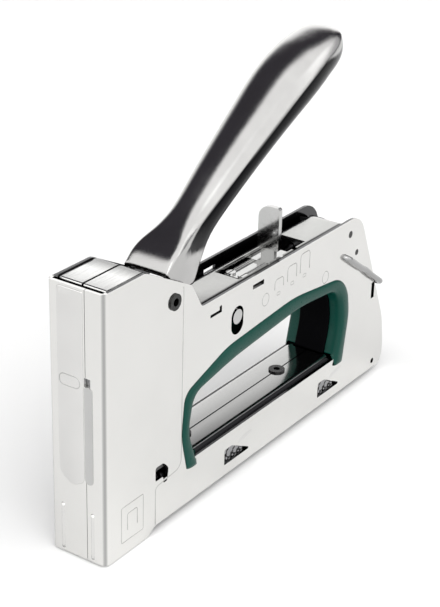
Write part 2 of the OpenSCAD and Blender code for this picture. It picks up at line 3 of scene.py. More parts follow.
import logging
import math
from dataclasses import dataclass, replace
from enum import Enum
from typing import Optional, Sequence

import bmesh
import bpy
import numpy as np
from mathutils import Matrix, Vector


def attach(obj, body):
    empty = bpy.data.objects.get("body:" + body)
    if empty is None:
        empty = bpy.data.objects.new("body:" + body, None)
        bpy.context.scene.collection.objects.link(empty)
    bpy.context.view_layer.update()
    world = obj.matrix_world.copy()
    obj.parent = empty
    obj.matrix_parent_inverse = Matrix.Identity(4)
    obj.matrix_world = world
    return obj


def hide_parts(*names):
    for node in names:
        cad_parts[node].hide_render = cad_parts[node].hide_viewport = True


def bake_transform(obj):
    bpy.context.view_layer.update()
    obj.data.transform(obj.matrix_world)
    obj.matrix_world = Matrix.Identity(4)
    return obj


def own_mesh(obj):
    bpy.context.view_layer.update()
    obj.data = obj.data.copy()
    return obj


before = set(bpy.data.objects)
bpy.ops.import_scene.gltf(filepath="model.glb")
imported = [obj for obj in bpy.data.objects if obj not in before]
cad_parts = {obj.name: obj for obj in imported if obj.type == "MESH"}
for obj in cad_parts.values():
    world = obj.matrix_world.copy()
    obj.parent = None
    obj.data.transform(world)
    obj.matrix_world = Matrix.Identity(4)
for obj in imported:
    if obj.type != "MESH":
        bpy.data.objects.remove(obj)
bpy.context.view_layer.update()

log = logging.getLogger("staple_gun")

MM = 0.001  # metres in a millimetre
BODY_LENGTH = 192.5  # of the casing, nose to rear
HALF_WIDTH = 11.75  # from the middle to the outer face of a plate
FULL_TURN = 2.0 * math.pi
SHARP_ANGLE = math.radians(38)  # edges that bend further are sharp

Span = tuple[Optional[float], Optional[float]]
Colour = tuple[float, float, float]


class Wear(Enum):
    """How a surface is worked over in its finish."""

    POLISHED = "polished"
    BRUSHED = "brushed"
    GRAINED = "grained"
    MOULDED = "moulded"


# ---- materials ----

# Sizes of the patterns in cells a metre, and depths of their relief in metres
CLOUD_SCALE, SCUFF_SCALE, WAVE_SCALE = 55.0, 60.0, 28.0
FINE_DEPTH, SCUFF_DEPTH, WAVE_DEPTH = 0.00005, 0.00003, 0.0003
SCUFF_STRETCH, SCUFF_TURN = (2, 2, 40), (0.3, 0.2, 0.5)
LEAST_ROUGHNESS = 0.02
# Black painted onto the handle's rims as dark reflection and shade
PAINTED_DARK_COLOUR = (0.004, 0.004, 0.005)


class Sheet:
    """A material's node tree, with short calls for the nodes that the finishes use."""

    def __init__(self, name: str) -> None:
        """Starts an empty material of that name."""
        self.material = bpy.data.materials.new(name)
        self.material.use_nodes = True
        self.nodes = self.material.node_tree.nodes
        self.links = self.material.node_tree.links
        self.nodes.clear()
        output = self.nodes.new("ShaderNodeOutputMaterial")
        self.shader = self.nodes.new("ShaderNodeBsdfPrincipled")
        self.links.new(self.shader.outputs["BSDF"], output.inputs["Surface"])
        self.place = self.nodes.new("ShaderNodeTexCoord").outputs["Object"]

    def set(self, **values: object) -> None:
        """Sets constant values on the shader's sockets; underscores stand for spaces."""
        for key, value in values.items():
            self.shader.inputs[key.replace("_", " ")].default_value = value

    def stretched(self, scale: Sequence[float], turn: Sequence[float] = (0, 0, 0)):
        """Returns object coordinates scaled by scale, after a turn in radians."""
        node = self.nodes.new("ShaderNodeMapping")
        node.inputs["Scale"].default_value = scale
        node.inputs["Rotation"].default_value = turn
        self.links.new(self.place, node.inputs["Vector"])
        return node.outputs["Vector"]

    def noise(self, scale: float, detail: float = 3.0, vector=None, rough: float = 0.55):
        """Returns the value of a noise pattern with that many cells a metre."""
        node = self.nodes.new("ShaderNodeTexNoise")
        node.inputs["Scale"].default_value = scale
        node.inputs["Detail"].default_value = detail
        node.inputs["Roughness"].default_value = rough
        self.links.new(vector or self.place, node.inputs["Vector"])
        return node.outputs["Fac"]

    def spread(self, value, low: float, high: float, start: float = 0.3, end: float = 0.7):
        """Returns value mapped from start..end to low..high."""
        node = self.nodes.new("ShaderNodeMapRange")
        node.inputs["From Min"].default_value = start
        node.inputs["From Max"].default_value = end
        node.inputs["To Min"].default_value = low
        node.inputs["To Max"].default_value = high
        self.links.new(value, node.inputs["Value"])
        return node.outputs["Result"]

    def sum(self, operation: str, *values):
        """Returns the result of a math operation on one or two values."""
        node = self.nodes.new("ShaderNodeMath")
        node.operation = operation
        for value, socket in zip(values, node.inputs):
            self.links.new(value, socket)
        return node.outputs[0]

    def blend(self, value, first, second):
        """Returns a colour between first and second, each a colour or a socket, by value."""
        node = self.nodes.new("ShaderNodeMix")
        node.data_type = "RGBA"
        for colour, socket in ((first, "A"), (second, "B")):
            if isinstance(colour, tuple):
                node.inputs[socket].default_value = (*colour, 1)
            else:
                self.links.new(colour, node.inputs[socket])
        self.links.new(value, node.inputs["Factor"])
        return node.outputs["Result"]

    def bump(self, height, strength: float, depth: float, below=None) -> object:
        """Returns a normal raised by height, over an optional normal below it."""
        node = self.nodes.new("ShaderNodeBump")
        node.inputs["Strength"].default_value = strength
        node.inputs["Distance"].default_value = depth
        self.links.new(height, node.inputs["Height"])
        if below is not None:
            self.links.new(below, node.inputs["Normal"])
        return node.outputs["Normal"]

    def wire(self, source, socket: str) -> None:
        """Links source to one of the shader's sockets."""
        self.links.new(source, self.shader.inputs[socket])


@dataclass(frozen=True)
class PaintedShadeZone:
    """A box, in millimetres from the nose, where a finish takes a darker colour: painted shade
    and painted dark reflections.

    A limit of None leaves that side open. With both_sides, y counts from the middle out.
    """

    x: Span = (None, None)
    y: Span = (None, None)
    z: Span = (None, None)
    edge: float = 0.1
    both_sides: bool = False
    colour: Colour = (0.03, 0.03, 0.032)

    def mask(self, sheet: "Sheet"):
        """Returns 1 inside the box and 0 outside, with a soft edge."""
        split = sheet.nodes.new("ShaderNodeSeparateXYZ")
        sheet.links.new(sheet.place, split.inputs[0])
        total = None
        for axis, (low, high) in zip("XYZ", (self.x, self.y, self.z)):
            value = split.outputs[axis]
            move = -BODY_LENGTH / 2 if axis == "X" else 0.0
            if axis == "Y" and self.both_sides:
                value = sheet.sum("ABSOLUTE", value)
            for limit, way in ((low, 1.0), (high, -1.0)):
                if limit is None:
                    continue
                at = (limit + move) * MM
                step = sheet.spread(value, 0.0, 1.0, at - way * self.edge * MM, at)
                total = step if total is None else sheet.sum("MULTIPLY", total, step)
        return total


@dataclass(frozen=True)
class Finish:
    """One finish: a base colour with its variation, gloss and surface relief.

    The zones darken parts of it with painted shade and painted dark reflections, and a named
    point attribute blackens it with painted dark reflection and shade.
    """

    name: str
    slot: str
    colour: Colour
    wear: Wear
    metallic: float = 1.0
    roughness: float = 0.2
    rough_spread: float = 0.06
    shade: float = 0.1
    relief: float = 0.2
    grain: float = 900.0
    gloss: float = 0.5
    ior: float = 1.5
    # Name of a point attribute that paints dark reflection and shade onto the finish
    shadow: str = ""
    stretch: tuple[float, float, float] = (1.0, 1.0, 1.0)
    zones: tuple[PaintedShadeZone, ...] = ()

    def build(self) -> bpy.types.Material:
        """Returns the material, made once and then found by its name."""
        known = bpy.data.materials.get(self.name)
        if known is not None:
            return known
        sheet = Sheet(self.name)
        sheet.set(Metallic=self.metallic, Specular_IOR_Level=self.gloss, IOR=self.ior)
        dark = tuple(c * (1.0 - self.shade) for c in self.colour)
        cloud = sheet.noise(CLOUD_SCALE, 4.0)
        colour = sheet.blend(sheet.spread(cloud, 0.0, 1.0), dark, self.colour)
        # Painted shade and painted dark reflections, box by box
        for zone in self.zones:
            colour = sheet.blend(zone.mask(sheet), colour, zone.colour)
        # Painted dark reflection and shade from the point attribute
        if self.shadow:
            band = sheet.nodes.new("ShaderNodeAttribute")
            band.attribute_name = self.shadow
            colour = sheet.blend(band.outputs["Fac"], colour, PAINTED_DARK_COLOUR)
        sheet.wire(colour, "Base Color")
        fine = sheet.noise(self.grain, 3.0, sheet.stretched(self.stretch))
        low = max(self.roughness - self.rough_spread, LEAST_ROUGHNESS)
        sheet.wire(sheet.spread(fine, low, self.roughness + self.rough_spread), "Roughness")
        normal = sheet.bump(fine, self.relief, FINE_DEPTH)
        if self.wear in (Wear.POLISHED, Wear.BRUSHED):
            place = sheet.stretched(SCUFF_STRETCH, SCUFF_TURN)
            scuffs = sheet.spread(sheet.noise(SCUFF_SCALE, 6.0, place, 0.7), 0, 1, 0.62, 0.7)
            normal = sheet.bump(scuffs, 0.12, SCUFF_DEPTH, normal)
            normal = sheet.bump(sheet.noise(WAVE_SCALE, 1.0), 0.05, WAVE_DEPTH, normal)
        if self.wear is Wear.GRAINED:
            pits = sheet.spread(sheet.noise(self.grain * 2.2, 2.0), 0, 1, 0.45, 0.7)
            normal = sheet.bump(pits, 0.25, FINE_DEPTH, normal)
        sheet.wire(normal, "Normal")
        return sheet.material


NICKEL = Finish("bright_nickel", "nickel_plate", (0.70, 0.695, 0.68), Wear.POLISHED,
                roughness=0.14, rough_spread=0.03, shade=0.03, relief=0.03, grain=1500.0)
PLATE = replace(NICKEL, name="casing_nickel", zones=(
    # Painted shade on the inner faces, between the two plates
    PaintedShadeZone(x=(2.6, None), y=(None, 11.62), both_sides=True, edge=0.05,
         colour=(0.06, 0.06, 0.062)),
    # Painted shade along the rounded front corner of each plate
    PaintedShadeZone(x=(None, 0.9), y=(11.2, None), both_sides=True, edge=0.7,
         colour=(0.36, 0.36, 0.355))))
CHANNEL = replace(NICKEL, name="channel_nickel", colour=(0.44, 0.44, 0.43), shade=0.12,
                  # Painted shade on the channel's sloping sides and below its top face
                  roughness=0.2, zones=(PaintedShadeZone(y=(6.6, None), both_sides=True, edge=0.5),
                                        PaintedShadeZone(z=(None, 75.8), edge=0.1)))
COVER = replace(NICKEL, name="magazine_floor_nickel", colour=(0.40, 0.40, 0.395), zones=(
    # Painted shade in the seam between the two cover halves
    PaintedShadeZone(y=(None, 0.3), both_sides=True, edge=0.05, colour=(0.01, 0.01, 0.01)),
    # Painted dark reflection on the rounded outer edges, low down
    PaintedShadeZone(y=(7.9, None), z=(None, 21.3), both_sides=True, edge=0.15)))
EMBOSS = replace(NICKEL, name="embossed_nickel", colour=(0.45, 0.45, 0.44), shade=0.2)
PRESSED = replace(NICKEL, name="pressed_nickel", colour=(0.66, 0.655, 0.645), shade=0.05)
# Darker than the panel: painted shade in the recess of the groove
SHADED_GROOVE = replace(PRESSED, name="groove_nickel_painted_shade", colour=(0.50, 0.50, 0.495))
SATIN = Finish("satin_plate", "satin_steel", (0.80, 0.80, 0.79), Wear.BRUSHED,
               roughness=0.24, shade=0.08, relief=0.08, grain=700.0, stretch=(0.2, 3.0, 1.0),
               # Painted dark reflection on the bends below the flat top
               zones=(PaintedShadeZone(z=(None, 102.6), edge=0.1),
                      # Painted shade growing towards the rear, where the strips bend down
                      PaintedShadeZone(x=(25.0, None), edge=9.0, colour=(0.08, 0.08, 0.08))))
# Its rims carry painted dark reflection and shade from a point attribute
HANDLE_METAL = Finish("pressed_handle_steel", "handle_steel", (0.50, 0.495, 0.49), Wear.GRAINED,
                      roughness=0.13, rough_spread=0.04, shade=0.12, relief=0.07, grain=1500.0,
                      shadow="rim_painted_dark")
POLISHED = Finish("polished_plate", "polished_steel", (0.52, 0.52, 0.515), Wear.POLISHED,
                  roughness=0.13, shade=0.1, relief=0.05, grain=1200.0)
BAIL_WIRE = replace(POLISHED, name="polished_bail_wire", colour=(0.36, 0.36, 0.36),
                    roughness=0.1)
SCOOP_STEEL = replace(POLISHED, name="scoop_steel", colour=(0.30, 0.30, 0.31), roughness=0.08)
TOOL_STEEL = Finish("ground_tool_steel", "tool_steel", (0.30, 0.30, 0.31), Wear.BRUSHED,
                    roughness=0.32, shade=0.15, relief=0.3, grain=900.0, stretch=(1, 0.2, 3))
SPRING_WIRE = Finish("oiled_spring_wire", "spring_steel", (0.30, 0.30, 0.31), Wear.POLISHED,
                     roughness=0.2, shade=0.2, relief=0.2, grain=1600.0)
BLACK_STEEL = Finish("blackened_steel", "black_steel", (0.0016, 0.0016, 0.0016), Wear.GRAINED,
                     metallic=0.0, roughness=0.25, shade=0.3, relief=0.1, grain=1500.0,
                     gloss=0.35)
GREEN = Finish("green_liner_plastic", "green_plastic", (0.0017, 0.0475, 0.0350), Wear.MOULDED,
               metallic=0.0, roughness=0.32, shade=0.12, relief=0.06, grain=1700.0, gloss=0.3,
               ior=1.35)
RUBBER = Finish("soft_black_rubber", "black_rubber", (0.0025, 0.0025, 0.003), Wear.GRAINED,
                metallic=0.0, roughness=0.55, shade=0.2, relief=0.3, grain=1400.0, gloss=0.1,
                ior=1.12)
BLACK_PLASTIC = Finish("black_catch_plastic", "black_plastic", (0.008, 0.008, 0.008),
                       Wear.MOULDED, metallic=0.0, roughness=0.4, shade=0.2, relief=0.2,
                       gloss=0.3)
BRONZE = Finish("sintered_bronze", "bronze", (0.42, 0.28, 0.13), Wear.GRAINED,
                roughness=0.4, shade=0.2, relief=0.3, grain=1800.0)


# ---- mesh tools ----


def linked(name: str, data: Optional[bpy.types.ID]) -> bpy.types.Object:
    """Makes an object of that name from its data and links it to the scene."""
    obj = bpy.data.objects.new(name, data)
    bpy.context.scene.collection.objects.link(obj)
    return obj


def grid_faces(rows: int, columns: int, wrap: bool) -> np.ndarray:
    """Quads of a grid of points stored row by row.

    Args:
        rows: Number of rows of points.
        columns: Number of points in a row.
        wrap: True if the last column joins the first.

    Returns:
        An (n, 4) array of point indices.
    """
    i, j = np.meshgrid(np.arange(rows - 1), np.arange(columns if wrap else columns - 1),
                       indexing="ij")
    k = (j + 1) % columns
    quad = np.stack([i * columns + j, i * columns + k, (i + 1) * columns + k,
                     (i + 1) * columns + j], axis=-1)
    return quad.reshape(-1, 4)


def capped_grid(rows: int, columns: int) -> list:
    """Faces of a grid whose columns join up, closed over its first and its last row."""
    last = (rows - 1) * columns
    return grid_faces(rows, columns, True).tolist() + [
        list(range(columns)), list(range(last, last + columns))]


def make_piece(name: str, points: np.ndarray, faces: Sequence, finish: Finish,
               body: str) -> bpy.types.Object:
    """Makes a mesh piece in the frame, dresses it and lets it ride on a body.

    Args:
        name: Name of the piece.
        points: (n, 3) array of places in millimetres, in the frame of the part.
        faces: Faces as lists of point indices.
        finish: Its finish.
        body: The body that carries it.

    Returns:
        The new object.
    """
    mesh = bpy.data.meshes.new(name)
    mesh.from_pydata((np.asarray(points, float) * MM).tolist(), [], [list(f) for f in faces])
    mesh.validate()
    tidy = bmesh.new()
    tidy.from_mesh(mesh)
    bmesh.ops.remove_doubles(tidy, verts=tidy.verts, dist=1e-6)
    bmesh.ops.recalc_face_normals(tidy, faces=tidy.faces)
    tidy.to_mesh(mesh)
    tidy.free()
    mesh.polygons.foreach_set("use_smooth", [True] * len(mesh.polygons))
    obj = linked(name, mesh)
    mesh.materials.append(finish.build())
    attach(obj, body)
    return obj


def soften(obj: bpy.types.Object, width: float) -> None:
    """Rounds the sharp edges of a piece by width millimetres."""
    bevel = obj.modifiers.new("edge", "BEVEL")
    bevel.width = width * MM
    bevel.segments = 2
    bevel.limit_method = "ANGLE"
    bevel.angle_limit = SHARP_ANGLE
    bevel.harden_normals = True
    bevel.use_clamp_overlap = True


def dressed_copy(node: str, finish: Finish, body: str, rounding: float) -> bpy.types.Object:
    """Replaces a CAD node by a merged copy whose sharp edges are rounded.

    Args:
        node: Name of the node.
        finish: Its finish.
        body: The body that carries it.
        rounding: Radius of its rounded edges in millimetres, or 0.

    Returns:
        The copy.
    """
    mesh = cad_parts[node].data.copy()
    mesh.name = node + "_skin"
    mesh.materials.clear()
    work = bmesh.new()
    work.from_mesh(mesh)
    bmesh.ops.remove_doubles(work, verts=work.verts, dist=2e-6)
    for edge in work.edges:
        sharp = len(edge.link_faces) != 2 or edge.calc_face_angle(0.0) > SHARP_ANGLE
        edge.smooth = not sharp
    work.to_mesh(mesh)
    work.free()
    mesh.polygons.foreach_set("use_smooth", [True] * len(mesh.polygons))
    obj = linked(node + "_skin", mesh)
    mesh.materials.append(finish.build())
    if rounding > 0:
        soften(obj, rounding)
    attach(obj, body)
    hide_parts(node)
    return obj


def tube(path: np.ndarray, radius: float, sides: int = 16, closed: bool = False) -> tuple:
    """Round wire along a path: circles of one radius, square to the path at each point.

    Args:
        path: (n, 3) array of points along the middle of the wire.
        radius: Radius of the wire.
        sides: Points round the wire.
        closed: True if the path joins its own start.

    Returns:
        Points and faces.
    """
    path = np.asarray(path, float)
    along = np.roll(path, -1, 0) - np.roll(path, 1, 0)
    if not closed:
        along[0], along[-1] = path[1] - path[0], path[-1] - path[-2]
    along /= np.linalg.norm(along, axis=1, keepdims=True)
    across = np.zeros_like(path)
    side = np.cross(along[0], [0.0, 0.3, 1.0])
    across[0] = side / np.linalg.norm(side)
    for i in range(1, len(path)):
        side = across[i - 1] - along[i] * (across[i - 1] @ along[i])
        across[i] = side / np.linalg.norm(side)
    up = np.cross(along, across)
    turn = np.arange(sides) / sides * FULL_TURN
    ring = (across[:, None] * np.cos(turn)[None, :, None]
            + up[:, None] * np.sin(turn)[None, :, None])
    points = (path[:, None] + radius * ring).reshape(-1, 3)
    if not closed:
        return points, capped_grid(len(path), sides)
    start = np.arange(sides)
    last = start + (len(path) - 1) * sides
    seam = np.stack([last, np.roll(last, -1), np.roll(start, -1), start], axis=-1)
    return points, grid_faces(len(path), sides, True).tolist() + seam.tolist()


def joined(*parts: tuple) -> tuple:
    """Several (points, faces) pairs as one."""
    points, faces, count = [], [], 0
    for p, f in parts:
        points.append(np.asarray(p, float))
        faces += [[i + count for i in face] for face in f]
        count += len(p)
    return np.concatenate(points), faces


def rounded_path(corners: Sequence[Sequence[float]], step: float = 8.0,
                 closed: bool = True) -> np.ndarray:
    """Outline through corners, each rounded by an arc.

    Each corner is (x, z, radius): the arc touches both sides at radius / tan(half the
    corner's angle) from it.

    Args:
        corners: The corners.
        step: Largest turn between two points of an arc, in degrees.
        closed: True if the outline is closed.

    Returns:
        (n, 2) array of points.
    """
    count = len(corners)
    places = np.array([c[:2] for c in corners], float)
    out = []
    for i, (x, z, radius) in enumerate(corners):
        b = places[i]
        if radius <= 0 or (not closed and i in (0, count - 1)):
            out.append(b[None])
            continue
        u = places[i - 1] - b
        w = places[(i + 1) % count] - b
        u, w = u / np.linalg.norm(u), w / np.linalg.norm(w)
        half = math.acos(max(-1.0, min(1.0, float(u @ w)))) / 2
        middle = u + w
        centre = b + middle / np.linalg.norm(middle) * radius / math.sin(half)
        s = b + u * radius / math.tan(half) - centre
        e = b + w * radius / math.tan(half) - centre
        start, end = math.atan2(s[1], s[0]), math.atan2(e[1], e[0])
        turn = (end - start + math.pi) % FULL_TURN - math.pi
        steps = max(2, math.ceil(abs(math.degrees(turn)) / step))
        a = start + turn * np.linspace(0, 1, steps + 1)
        out.append(centre + radius * np.stack([np.cos(a), np.sin(a)], axis=-1))
    return np.concatenate(out)


def box_path(x0: float, x1: float, z0: float, z1: float, radius: float,
             step: float = 8.0) -> np.ndarray:
    """Outline of a box whose corners are rounded by radius."""
    corners = ((x0, z0), (x1, z0), (x1, z1), (x0, z1))
    return rounded_path([(x, z, radius) for x, z in corners], step)


def staple_path(x0: float, x1: float, low: float, high: float, radius: float) -> np.ndarray:
    """Outline of a staple with its legs down and its two shoulders rounded by radius."""
    return rounded_path(((x0, low, 0), (x0, high, radius), (x1, high, radius), (x1, low, 0)),
                        15.0, closed=False)


def resampled(path: np.ndarray, count: int) -> np.ndarray:
    """count points spaced evenly along an open path."""
    length = np.r_[0, np.cumsum(np.linalg.norm(np.diff(path, axis=0), axis=1))]
    s = np.linspace(0, length[-1], count)
    return np.stack([np.interp(s, length, path[:, k]) for k in range(path.shape[1])], axis=-1)


def shifted(points: np.ndarray) -> np.ndarray:
    """Points counted from the nose, in the frame of the part."""
    points = np.array(points, float)
    points[:, 0] -= BODY_LENGTH / 2
    return points


def smooth_line(knots: Sequence[tuple[float, float]], x: np.ndarray) -> np.ndarray:
    """Cubic Hermite curve through (position, value) knots, its slopes from their neighbours."""
    px, py = np.array(knots, float).T
    last = len(px) - 1
    k = np.clip(np.searchsorted(px, x, side="right") - 1, 0, last - 1)
    lo, hi = np.maximum(k - 1, 0), np.minimum(k + 2, last)
    h = px[k + 1] - px[k]
    t = np.clip((x - px[k]) / h, 0, 1)
    m0 = (py[k + 1] - py[lo]) / (px[k + 1] - px[lo]) * h
    m1 = (py[hi] - py[k]) / (px[hi] - px[k]) * h
    return ((2 * t**3 - 3 * t**2 + 1) * py[k] + (t**3 - 2 * t**2 + t) * m0
            + (-2 * t**3 + 3 * t**2) * py[k + 1] + (t**3 - t**2) * m1)


# ---- camera and studio ----


@dataclass(frozen=True)
class Lamp:
    """A square area light: its middle, its side in metres and its power in watts."""

    name: str
    place: tuple[float, float, float]
    size: float
    power: float


@dataclass
class Studio:
    """Camera, pale floor and soft lights."""

    azimuth: float = -56.17
    elevation: float = 25.25
    roll: float = 1.71
    place: tuple[float, float, float] = (-0.4485, -0.2962, 0.3144)
    lens: float = 92.87
    sensor: float = 36.0
    shift: tuple[float, float] = (-0.0150, 0.0052)
    floor_size: float = 6.0
    floor_drop: float = 0.0003
    surround: Colour = (1.56, 1.56, 1.55)
    flags: Colour = (0.06, 0.056, 0.066)
    target: tuple[float, float, float] = (0, 0, 0.05)
    lamps: tuple[Lamp, ...] = (Lamp("key", (-0.9, -1.1, 1.1), 1.2, 7.0),
                               Lamp("fill", (1.2, -0.9, 0.8), 1.2, 3.0))

    def camera(self) -> None:
        """Makes the camera: it looks back along its azimuth and elevation, then rolls."""
        a, e, r = (math.radians(v) for v in (self.azimuth, self.elevation, self.roll))
        back = Vector((math.sin(a) * math.cos(e), -math.cos(a) * math.cos(e), math.sin(e)))
        right = Vector((math.cos(a), math.sin(a), 0))
        up = back.cross(right)
        x = right * math.cos(r) + up * math.sin(r)
        y = -right * math.sin(r) + up * math.cos(r)
        data = bpy.data.cameras.new("camera")
        data.lens, data.sensor_width = self.lens, self.sensor
        data.shift_x, data.shift_y = self.shift
        data.clip_start, data.clip_end = 0.01, 50.0
        obj = linked("camera", data)
        obj.matrix_world = Matrix((
            (x.x, y.x, back.x, self.place[0]), (x.y, y.y, back.y, self.place[1]),
            (x.z, y.z, back.z, self.place[2]), (0, 0, 0, 1)))
        bpy.context.scene.camera = obj

    def floor(self) -> None:
        """Makes a wide pale floor under the object."""
        mesh = bpy.data.meshes.new("floor")
        size = self.floor_size
        mesh.from_pydata([(-size, -size, 0), (size, -size, 0), (size, size, 0),
                          (-size, size, 0)], [], [(0, 1, 2, 3)])
        obj = linked("floor", mesh)
        obj.location.z = -self.floor_drop
        sheet = Sheet("pale_floor")
        sheet.set(Base_Color=(0.93, 0.93, 0.93, 1), Roughness=0.75)
        mesh.materials.append(sheet.material)

    def sky(self) -> None:
        """A white surround with black flags overhead and to the right, for the metal.

        Directions are unit vectors: x to the rear, y to the far side and z up.
        """
        world = bpy.data.worlds.new("surround")
        bpy.context.scene.world = world
        world.use_nodes = True
        nodes, links = world.node_tree.nodes, world.node_tree.links
        nodes.clear()
        out = nodes.new("ShaderNodeOutputWorld")
        glow = nodes.new("ShaderNodeBackground")
        links.new(glow.outputs[0], out.inputs[0])
        way = nodes.new("ShaderNodeSeparateXYZ")
        links.new(nodes.new("ShaderNodeTexCoord").outputs["Generated"], way.inputs[0])

        def math_node(operation: str, *values):
            """Returns the result of an operation on sockets or numbers."""
            node = nodes.new("ShaderNodeMath")
            node.operation = operation
            for value, socket in zip(values, node.inputs):
                if isinstance(value, float):
                    socket.default_value = value
                else:
                    links.new(value, socket)
            return node.outputs[0]

        def ramp(value, start: float, end: float):
            """Returns 0 at start and 1 at end, eased between them."""
            node = nodes.new("ShaderNodeMapRange")
            node.interpolation_type = "SMOOTHSTEP"
            node.inputs["From Min"].default_value = start
            node.inputs["From Max"].default_value = end
            links.new(value, node.inputs["Value"])
            return node.outputs["Result"]

        def product(*values):
            """Returns the product of all values."""
            total = values[0]
            for value in values[1:]:
                total = math_node("MULTIPLY", total, value)
            return total

        x, y, z = (way.outputs[k] for k in "XYZ")
        # The near edge of the overhead flag turns towards the viewer at its rear
        beyond = math_node("MAXIMUM", math_node("SUBTRACT", x, 0.23), 0.0)
        slant = math_node("ADD", y, math_node("MULTIPLY", beyond, 0.9))
        top = ramp(z, 0.42, 0.62)
        side = product(ramp(x, 0.68, 0.5), ramp(z, -0.05, 0.5))
        overhead = product(ramp(slant, 0.13, 0.29), ramp(x, -0.42, -0.26),
                           math_node("MAXIMUM", top, side))
        right = product(ramp(x, 0.6, 0.7), ramp(y, 0.24, 0.08), ramp(z, -0.03, 0.0),
                        ramp(z, 0.85, 0.72))
        mix = nodes.new("ShaderNodeMix")
        mix.data_type = "RGBA"
        mix.inputs["A"].default_value = (*self.surround, 1)
        mix.inputs["B"].default_value = (*self.flags, 1)
        links.new(math_node("MAXIMUM", overhead, right), mix.inputs["Factor"])
        links.new(mix.outputs["Result"], glow.inputs["Color"])

    def lights(self) -> None:
        """Soft area lights: a key from the left front and a fill from the right."""
        for lamp in self.lamps:
            data = bpy.data.lights.new(lamp.name, "AREA")
            data.size, data.energy = lamp.size, lamp.power
            obj = linked(lamp.name, data)
            obj.location = lamp.place
            aim = Vector(self.target) - Vector(lamp.place)
            obj.rotation_euler = aim.to_track_quat("-Z", "Y").to_euler()

    def build(self) -> None:
        """Sets the whole studio up."""
        self.camera()
        self.floor()
        self.sky()
        self.lights()
        bpy.context.scene.view_settings.view_transform = "Standard"


# ---- sub-assemblies ----


@dataclass
class Metalwork:
    """Machined and folded pieces whose shape is settled by the frame.

    Each row holds a body, a finish, the radius of the rounded edges, or 0, and the nodes.
    """

    rows: tuple = (
        ("casing", PLATE, 0, "casing_left casing_right"),
        ("casing", SATIN, 0.25, "nose_frame_left nose_frame_right"),
        ("casing", TOOL_STEEL, 0.15, "nose_foot driver_guide"),
        ("casing", TOOL_STEEL, 0.2, "bumper_plate"),
        ("casing", RUBBER, 0.6, "driver_bumper"),
        ("casing", CHANNEL, 0.2, "spring_channel"),
        ("casing", TOOL_STEEL, 0.3, "spring_anchor"),
        ("casing", COVER, 0, "magazine_cover_left magazine_cover_right"),
        ("casing", BLACK_STEEL, 0.2, "cover_rivets"),
        ("casing", TOOL_STEEL, 0.25, "staple_housing"),
        ("casing", TOOL_STEEL, 0, "staple_rail"),
        ("casing", SPRING_WIRE, 0, "catch_spring"),
        ("casing", BLACK_STEEL, 0.1, "rear_spacers"),
        ("casing", BLACK_STEEL, 0, "pivot_rivet"),
        ("casing", TOOL_STEEL, 0.2, "rocker_axle"),
        ("handle", TOOL_STEEL, 0.2, "lever_fork"),
        ("handle", BRONZE, 0.2, "pivot_bush"),
        ("handle", POLISHED, 0.3, "lift_roller"),
        ("handle", TOOL_STEEL, 0.2, "roller_pin"),
        ("rocker", TOOL_STEEL, 0.3, "rocker_arm"),
        ("rocker", POLISHED, 0.25, "slot_pin"),
        ("driver", TOOL_STEEL, 0.1, "driver_blade"),
        ("driver", TOOL_STEEL, 0.3, "driver_carrier"),
        ("driver", BLACK_STEEL, 0.2, "carrier_rivets"),
        ("adjuster", POLISHED, 0.3, "adjuster_flag adjuster_saddle"),
        ("magazine_slide", POLISHED, 0.2, "guide_rod"),
        ("magazine_slide", BLACK_PLASTIC, 0.35, "rear_catch"),
        ("pusher", BRONZE, 0, "pusher"),
    )

    def build(self) -> None:
        """Dresses a rounded copy of each node in the rows."""
        for body, finish, rounding, nodes in self.rows:
            for node in nodes.split():
                dressed_copy(node, finish, body, rounding)
            log.info("%s: %s", finish.name, nodes)


